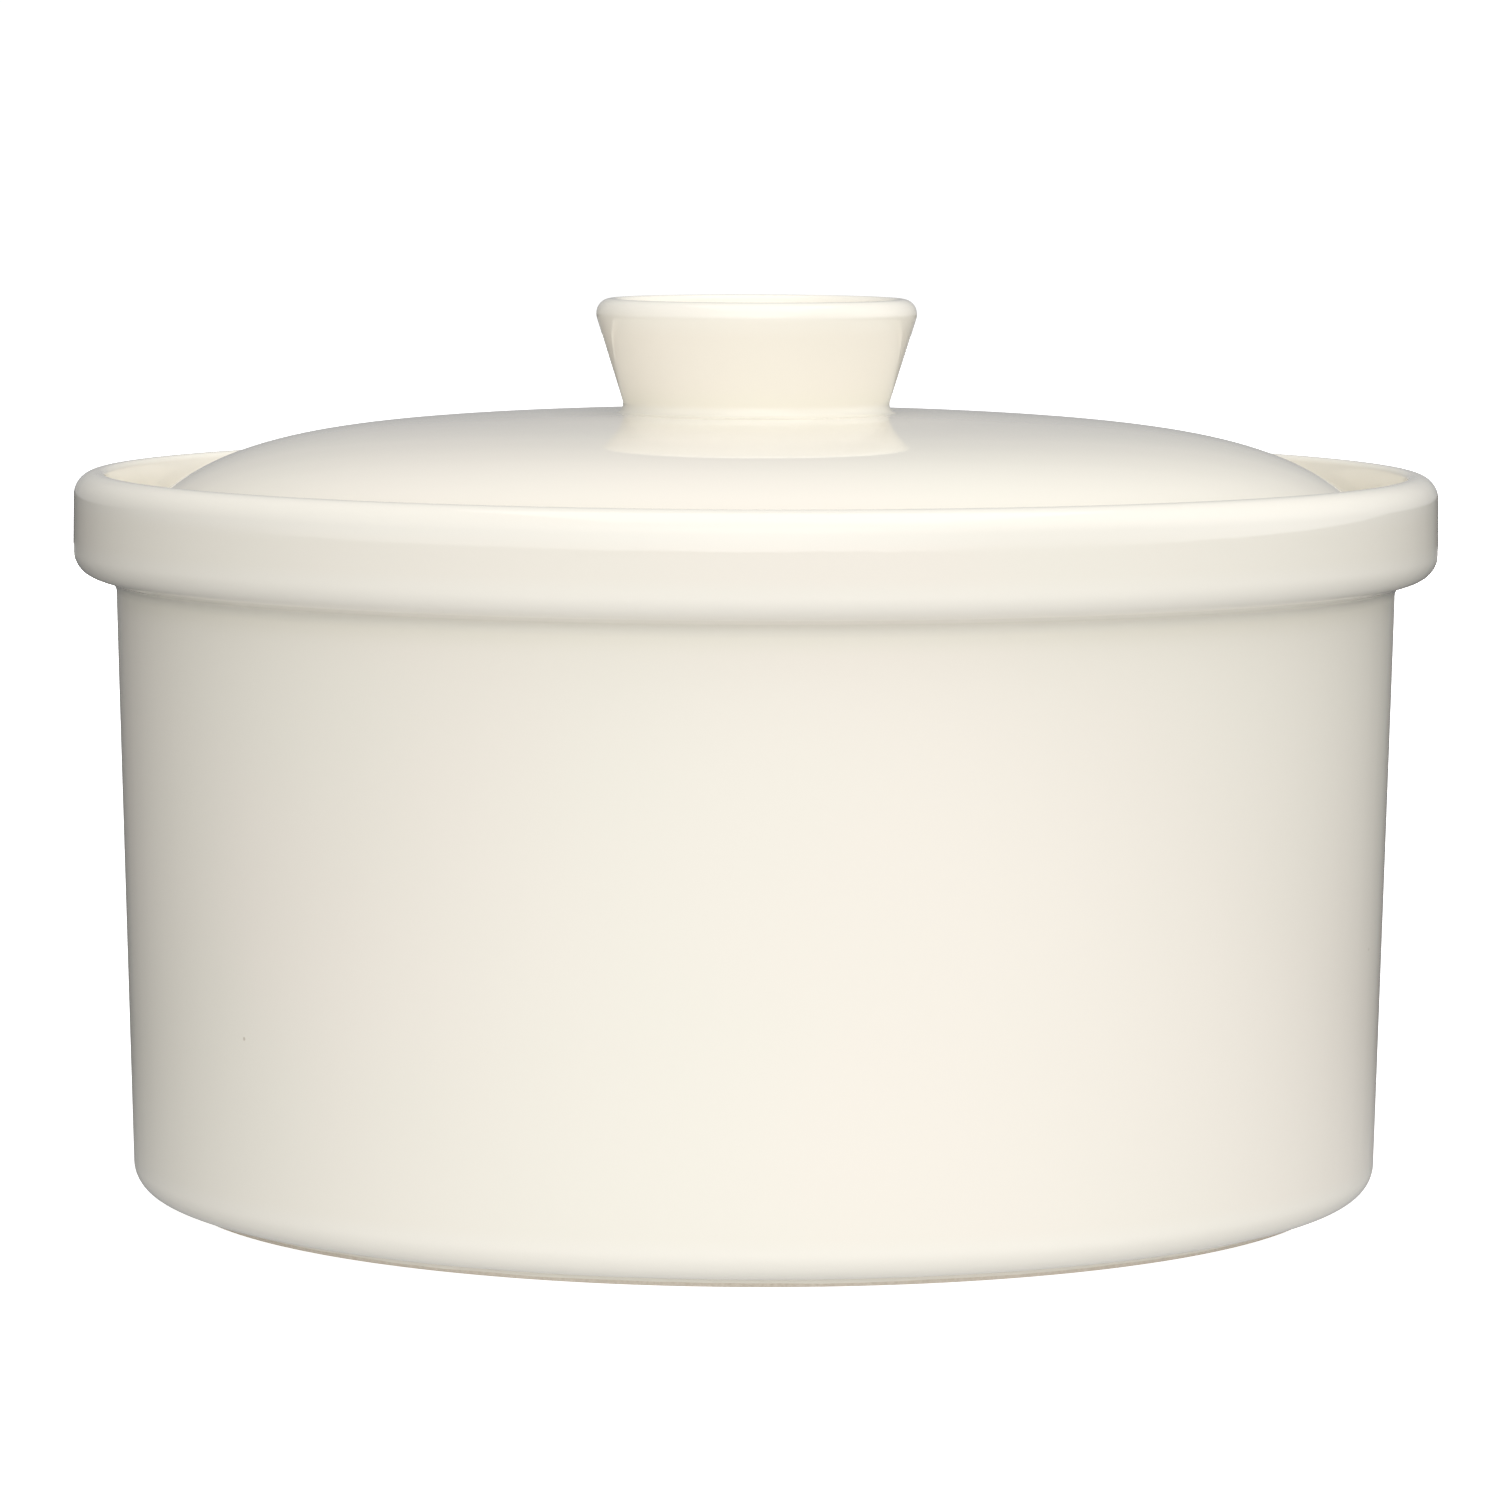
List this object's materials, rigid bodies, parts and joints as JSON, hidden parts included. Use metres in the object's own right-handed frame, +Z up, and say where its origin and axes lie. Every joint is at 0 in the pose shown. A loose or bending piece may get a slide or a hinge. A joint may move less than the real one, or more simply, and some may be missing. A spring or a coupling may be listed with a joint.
{
  "type": "covered casserole dish",
  "caption": "Straight-sided glazed ceramic pot with a thick collar and a foot ring, and a domed lift-off lid that sits inside the collar, with a hollow flared knob.",
  "frame": {"origin": "centre of the circle on which the foot ring stands", "axes": "+Z up, along the axis that the pot, the lid and the knob are all turned about; X and Y are alike"},
  "size_m": [0.2156, 0.2156, 0.1424],
  "materials": {
    "pot_glaze": "gloss",
    "lid_glaze": "gloss",
    "knob_glaze": "gloss"
  },
  "bodies": {
    "pot": {"pot": "pot_glaze"},
    "lid": {"lid": "lid_glaze", "lid_knob": "knob_glaze"}
  },
  "joints": [
    {"name": "lid_lift", "type": "slide", "parent": "pot", "child": "lid", "axis": [0, 0, 1], "range_m": [0, 0.12]}
  ]
}
